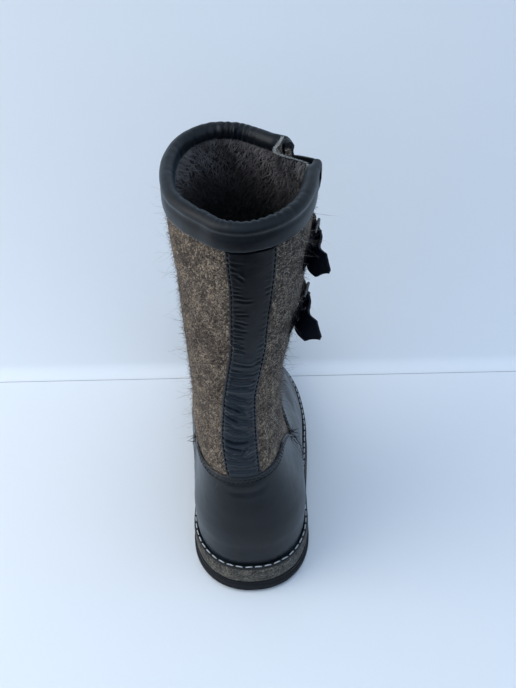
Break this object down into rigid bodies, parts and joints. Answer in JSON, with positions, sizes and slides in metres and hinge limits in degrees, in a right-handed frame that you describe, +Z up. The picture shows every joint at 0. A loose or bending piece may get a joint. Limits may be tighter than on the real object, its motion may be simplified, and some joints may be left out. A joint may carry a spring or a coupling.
{
  "type": "felt winter boot",
  "caption": "Calf-height felt winter boot with leather galosh, padded leather collar, side gusset, buckled ankle straps, stitched welt, felt midsole and lugged rubber sole.",
  "frame": {"origin": "on the floor, at the middle of the heel's flat underside", "axes": "+Z up along the shaft, +Y towards the toe, +X towards the boot's outer side"},
  "size_m": [0.1096, 0.2941, 0.344],
  "materials": {
    "brown_felt": "matte",
    "grey_felt": "matte",
    "black_leather": "satin",
    "black_rubber": "matte",
    "dark_nickel": "satin"
  },
  "bodies": {
    "root": {"outsole": "black_rubber", "midsole": "grey_felt", "welt": "black_leather", "insole": "grey_felt", "upper": "brown_felt", "vamp": "black_leather", "heel_counter": "black_leather", "back_stay": "black_leather", "collar_binding": "black_leather", "gusset": "brown_felt", "strap_upper": "black_leather", "strap_lower": "black_leather", "buckle_tab_upper": "black_leather", "buckle_tab_lower": "black_leather", "buckle_upper": "dark_nickel", "buckle_lower": "dark_nickel", "prong_upper": "dark_nickel", "prong_lower": "dark_nickel"}
  },
  "joints": []
}
